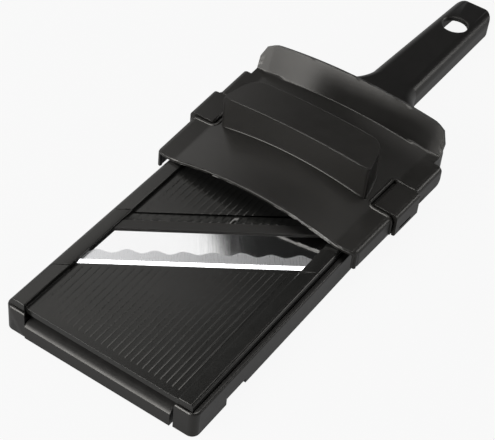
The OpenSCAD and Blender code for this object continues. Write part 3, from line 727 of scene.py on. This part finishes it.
def recess_border(side):
    """Half-round bead that frames a clip's recess and runs down the skirt on both sides of it."""
    beyond = CLIP_GAP + 1.25
    low, high = CLIP_V - beyond, CLIP_V + CLIP_LEN + beyond
    inner, corner = -14.1, 3
    rise = [(0, z) for z in (11.2, 13.5, 16, 18.2)]
    rise += arc((-BEND_R, GUARD_TOP - BEND_R), BEND_R, BEND_R, (25, 45, 65, 90))
    plan = [(-5, low), (-8, low)]
    plan += arc((inner + corner, low + corner), corner, corner, range(-90, -181, -15))
    plan += [(inner, low + corner + (high - low - 2 * corner) * k / 6) for k in range(1, 6)]
    plan += arc((inner + corner, high - corner), -corner, corner, range(0, 91, 15))
    plan += [(-8, high), (-5, high)]
    path = [(x, low, z) for x, z in rise]
    path += [(x, v, None) for x, v in plan]
    path += [(x, high, z) for x, z in reversed(rise)]
    points = []
    for x, v, z in path:
        across = GUARD_HALF + x * cos(SPREAD) + v * sin(SPREAD)
        up = cover_top(across, v) if z is None else z
        points.append((side * across, v * cos(SPREAD) - x * sin(SPREAD), up - 0.1))
    return bead_along(points, 0.75)


def lip_bead():
    """The rolled edge along the guard's near side and down its two near corners."""
    points, corner = [], 5
    for x, z in cover_row(0):
        x *= 0.983
        past = max(0, abs(x) - GUARD_HALF + corner)
        v = 0.85 + corner - sqrt(max(0, corner ** 2 - past * past))
        under = 0.95 if abs(x) < GUARD_HALF - BEND_R else 0.5
        points.append((x, v, z - under))
    return bead_along(points, 1.02)


def grip_plan():
    """The grip's outline seen from above, from its near left corner round to the left side."""
    near, far = GRIP_NEAR, GRIP_NEAR + GRIP_D
    plan = [(41.9 * k / 14, near) for k in range(-13, 14)]
    plan += [(42.1, near + 1.2), (41.3, near + 5), (40.2, near + 9.5)]
    plan += arc((30.6, far - 8.3), 8.5, 8.5, (10, 30, 50, 70, 90))
    right = [p for p in plan if p[0] > 0][13:]
    plan += [(30.6 * k / 8, far + 0.2) for k in range(7, -8, -1)]
    return plan + [(-x, v) for x, v in reversed(right)]


def grip_crown(x):
    return GRIP_SAG * (1 - (x / GRIP_HALF) ** 2)


def grip_beads():
    """Beads where the grip stands on the guard, round its top and up its near corners."""
    foot = [(x, v, cover_top(x, v) + 0.1) for x, v in grip_plan()]
    middle = GRIP_NEAR + GRIP_D / 2
    top = [
        (x * 0.988, middle + (v - middle) * 0.96, GRIP_TOP + grip_crown(x) - 0.42)
        for x, v in grip_plan()
    ]
    beads = [bead_along(foot, 0.6, True), bead_along(top, 0.5, True)]
    for side in (-1, 1):
        foot_z = cover_top(41.6, GRIP_NEAR)
        heights = (foot_z, foot_z + 8, GRIP_TOP - 0.4)
        beads.append(bead_along([(side * 41.5, GRIP_NEAR + 0.65, z) for z in heights], 0.5))
    return beads


def grip_form(inset, low, drop):
    """The grip block's shape: a trapezoid with rounded ends and a crowned top."""
    near, far = GRIP_NEAR + inset, GRIP_NEAR + GRIP_D - inset
    piece = block("grip", (-1, near, low), (1, far, GRIP_TOP - drop))
    form = edit(piece)
    wide, narrow = GRIP_HALF - inset, 37.5 - inset
    middle = (near + far) / 2
    for vert in form.verts:
        vert.co.x *= wide if vert.co.y < middle else narrow
    for is_far, radius in ((False, 2.2), (True, 8.5 - inset)):
        corners = [
            e for e in form.edges
            if abs(e.verts[0].co.z - e.verts[1].co.z) > 1 and (e.verts[0].co.y > middle) == is_far
        ]
        segments = 10 if is_far else 5
        bmesh.ops.bevel(
            form, geom=corners, offset=radius, segments=segments, profile=0.5, affect="EDGES"
        )
    for step in range(-12, 13):
        whole = form.verts[:] + form.edges[:] + form.faces[:]
        bmesh.ops.bisect_plane(form, geom=whole, plane_co=(step * 3.1, 0, 0), plane_no=(1, 0, 0))
    for vert in form.verts:
        if vert.co.z > (low + GRIP_TOP) / 2:
            vert.co.z += grip_crown(vert.co.x)
        vert.co.y += GUARD_Y
    keep(form, piece)
    return piece


def guard_grip():
    piece = grip_form(0, GUARD_TOP + 0.6, 0)
    piece.name = "guard_grip"
    cut_away(piece, grip_form(GUARD_T, 10, GUARD_T))
    soften_edges(piece, 0.7, 3, 50)
    smooth_faces(piece, 40)
    even_normals(piece)
    return piece


def guard_fittings():
    """Runners beside the rails, lugs for the clips' pins and bosses for the pin plate."""
    parts = []
    for low, high in ((9, CLIP_V - 8), (CLIP_V + CLIP_LEN + 5, SKIRT_LEN - 8)):
        runner = block("runner", (HALF_W + 0.3, low, SKIRT_LOW + 0.2), (GUARD_HALF - 0.7, high, 19.7))
        form = edit(runner)
        for vert in form.verts:
            if vert.co.x > 55:
                vert.co.x += vert.co.y * tan(SPREAD)
            vert.co.y += GUARD_Y
        keep(form, runner)
        parts += [runner, other_side(runner)]
    lug_len = 3
    for v in (CLIP_V - CLIP_GAP - lug_len, CLIP_V + CLIP_LEN + CLIP_GAP):
        lug = along_skirt(block("lug", (-4.6, v, 16.4), (-0.4, v + lug_len, 20.4)))
        bore = along_skirt(post("bore", (0, 0), 1, -20, 20, 24))
        form = edit(bore)
        lying = Matrix.Rotation(pi / 2, 3, "X")
        bmesh.ops.rotate(form, verts=form.verts, cent=(GUARD_HALF, GUARD_Y, 0), matrix=lying)
        bmesh.ops.translate(form, verts=form.verts, vec=(PIVOT_X + v * tan(SPREAD), v, PIVOT_Z))
        keep(form, bore)
        cut_away(lug, bore)
        parts += [lug, other_side(lug)]
    middle = GUARD_Y + GRIP_NEAR + GRIP_D / 2
    for side in (-1, 1):
        boss = post("boss", (side * BOSS_X, middle), 3.4, 23.7, 40.5)
        cut_away(boss, post("hole", (side * BOSS_X, middle), 1.45, 20, 37.5, 32))
        parts.append(boss)
    piece = joined("guard_fittings", parts)
    soften_edges(piece, 0.3, 2, 50)
    smooth_faces(piece, 40)
    return piece


cover = guard_cover()
cut_away(cover, *clip_windows(), grip_form(GUARD_T, 10, GUARD_T))
soften_edges(cover, 0.55, 3, 72)
smooth_faces(cover, 71)
even_normals(cover)
borders = [recess_border(1), recess_border(-1)]
beads = joined("guard_beads", [*borders, lip_bead(), *grip_beads()])
smooth_faces(beads, 60)
for piece in (cover, beads, guard_grip(), guard_fittings()):
    seat_on_table(piece)
    paint(piece, guard_grey)
    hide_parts("guard_body")
    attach(piece, "guard")


# ---- Camera, light and floor ----

bpy.ops.object.camera_add()
camera = bpy.context.object
camera.name = "camera"
camera.matrix_world = (
    SEAT
    @ Matrix.Translation((269.28, -345.64, 528.85))
    @ Matrix.Rotation(radians(30.30), 4, "Z")
    @ Matrix.Rotation(radians(45.85), 4, "X")
    @ Matrix.Rotation(radians(6.05), 4, "Z")
)
# SEAT turns millimetres into metres, and that scale isn't the camera's
camera.scale = (1, 1, 1)
camera.data.lens = 112.95
camera.data.sensor_width = 36
camera.data.clip_start = 0.05
camera.data.clip_end = 20
bpy.context.scene.camera = camera


def soft_lamp(name, at, aim, size, watts):
    nothing_selected()
    bpy.ops.object.light_add(type="AREA", location=at)
    lamp = bpy.context.object
    lamp.name = name
    lamp.data.shape = "RECTANGLE"
    lamp.data.size, lamp.data.size_y = size
    lamp.data.energy = watts
    lamp.rotation_euler = (Vector(aim) - Vector(at)).to_track_quat("-Z", "Y").to_euler()


soft_lamp("left softbox", (-0.62, 0.22, 0.55), (0, 0, 0), (0.68, 0.6), 1.3)
soft_lamp("back right softbox", (0.96, 0.96, 0.5), (0, 0, 0), (0.6, 0.4), 3)
soft_lamp("front left softbox", (-0.64, -1.34, 0.25), (0, 0, 0.02), (1.25, 0.5), 17)
soft_lamp("front softbox", (-0.42, -1.15, 0.88), (0, 0, 0), (0.8, 0.5), 17)
soft_lamp("overhead softbox", (0.15, 0.1, 1.4), (0, 0, 0), (0.9, 0.9), 12)

nothing_selected()
bpy.ops.mesh.primitive_plane_add(size=8)
floor = bpy.context.object
floor.name = "floor"
white, nodes, links, shader = new_finish("white floor")
shader.inputs["Base Color"].default_value = (0.2, 0.2, 0.2, 1)
shader.inputs["Roughness"].default_value = 0.9
glow = nodes.new("ShaderNodeEmission")
path = nodes.new("ShaderNodeLightPath")
mix = nodes.new("ShaderNodeMixShader")
# White to the camera, and a pale grey in what the slicer mirrors
seen = arithmetic(nodes, links, "MULTIPLY", path.outputs["Is Camera Ray"], 0.92)
mirrored = arithmetic(nodes, links, "MULTIPLY", path.outputs["Is Glossy Ray"], 0.25)
bright = arithmetic(nodes, links, "MAXIMUM", seen, mirrored)
links.new(bright, mix.inputs[0])
links.new(shader.outputs[0], mix.inputs[1])
links.new(glow.outputs[0], mix.inputs[2])
links.new(mix.outputs[0], nodes["Material Output"].inputs["Surface"])
paint(floor, white)

world = bpy.data.worlds.new("studio")
bpy.context.scene.world = world
world.use_nodes = True
nodes, links = world.node_tree.nodes, world.node_tree.links
sky = nodes["Background"]
sky.inputs["Color"].default_value = (1, 1, 1, 1)
# White to the camera, and otherwise pale walls all round and a dim ceiling
where = nodes.new("ShaderNodeTexCoord").outputs["Generated"]
split = nodes.new("ShaderNodeSeparateXYZ")
links.new(where, split.inputs[0])
room = spread_over(nodes, links, split.outputs["Z"], 0.1, 0.5, 0.4, 0.012)
path = nodes.new("ShaderNodeLightPath")
strength = arithmetic(nodes, links, "MAXIMUM", path.outputs["Is Camera Ray"], room)
links.new(strength, sky.inputs["Strength"])

bpy.context.scene.view_settings.view_transform = "Standard"
